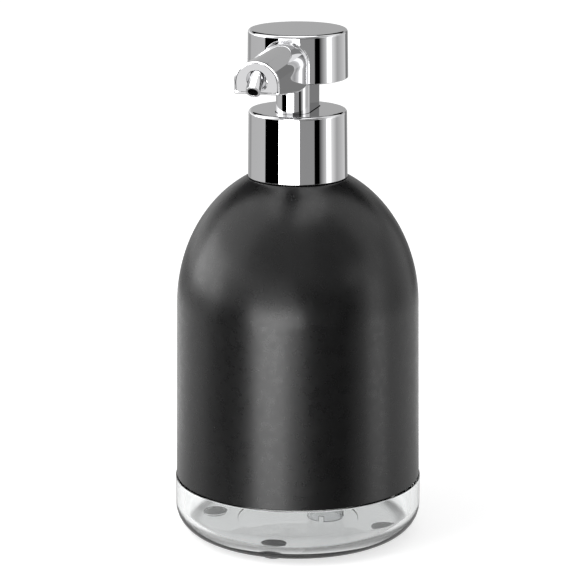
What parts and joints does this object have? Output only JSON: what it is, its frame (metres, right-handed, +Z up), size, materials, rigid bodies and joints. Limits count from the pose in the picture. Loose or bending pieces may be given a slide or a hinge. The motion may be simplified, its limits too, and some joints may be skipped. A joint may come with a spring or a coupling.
{
  "type": "foam soap dispenser",
  "caption": "Free-standing foam soap dispenser: clear bottle under a matt black bell, chromed press pump with a D-shaped spout and a slanted nozzle.",
  "frame": {"origin": "on the pump's axis, at the height of the table that the foot pads stand on; the clear underside is 0.5 mm above it", "axes": "+Z up along the pump's axis, -Y towards the spout's tip, +X to the right for someone who faces the spout"},
  "size_m": [0.0908, 0.1037, 0.187],
  "materials": {
    "clear_plastic": "clear, polished",
    "matt_black": "satin black coat",
    "chrome": "mirror plating on plastic",
    "grey_rubber": "matt",
    "frosted_plastic": "translucent",
    "white_plastic": "moulded",
    "spring_steel": "bright drawn",
    "soft_seal": "soft"
  },
  "bodies": {
    "bottle": {"inner_bottle": "clear_plastic", "bottle_neck": "clear_plastic", "outer_cover": "matt_black", "foot_pad_front": "grey_rubber", "foot_pad_back": "grey_rubber", "foot_pad_left": "grey_rubber", "foot_pad_right": "grey_rubber"},
    "gasket": {"neck_gasket": "soft_seal"},
    "pump": {"collar": "chrome", "closure_nut": "white_plastic", "pump_housing": "white_plastic", "dip_tube": "frosted_plastic", "strainer_foot": "frosted_plastic"},
    "press": {"press_head": "chrome", "nozzle_plate": "chrome", "nozzle_tube": "chrome", "stem_sleeve": "chrome", "foam_core": "white_plastic", "mesh_ring": "white_plastic", "mesh_screen_lower": "white_plastic", "mesh_screen_upper": "white_plastic", "piston_rod": "white_plastic", "air_piston": "white_plastic", "air_valve": "soft_seal", "soap_piston_seal": "soft_seal", "return_spring": "spring_steel"},
    "inlet_ball": {"inlet_ball": "spring_steel"},
    "outlet_ball": {"outlet_ball": "spring_steel"}
  },
  "joints": [
    {"name": "pump_rise", "type": "slide", "parent": "bottle", "child": "gasket", "axis": [0, 0, 1], "range_m": [0, 0.00375]},
    {"name": "pump_unscrew", "type": "hinge", "parent": "gasket", "child": "pump", "pos_m": [0, 0, 0.1408], "axis": [0, 0, 1], "range_deg": [0, 450]},
    {"name": "head_press", "type": "slide", "parent": "pump", "child": "press", "axis": [0, 0, -1], "range_m": [0, 0.011], "stiffness_N_per_m": 600, "springref_m": -0.0067, "deforming": ["return_spring"]},
    {"name": "inlet_ball_lift", "type": "slide", "parent": "pump", "child": "inlet_ball", "axis": [0, 0, 1], "range_m": [0, 0.0009]},
    {"name": "outlet_ball_lift", "type": "slide", "parent": "press", "child": "outlet_ball", "axis": [0, 0, 1], "range_m": [0, 0.0015]}
  ],
  "couplings": [
    {"joint": "pump_unscrew", "follows": "pump_rise", "rad_per_m": 2094.4}
  ]
}
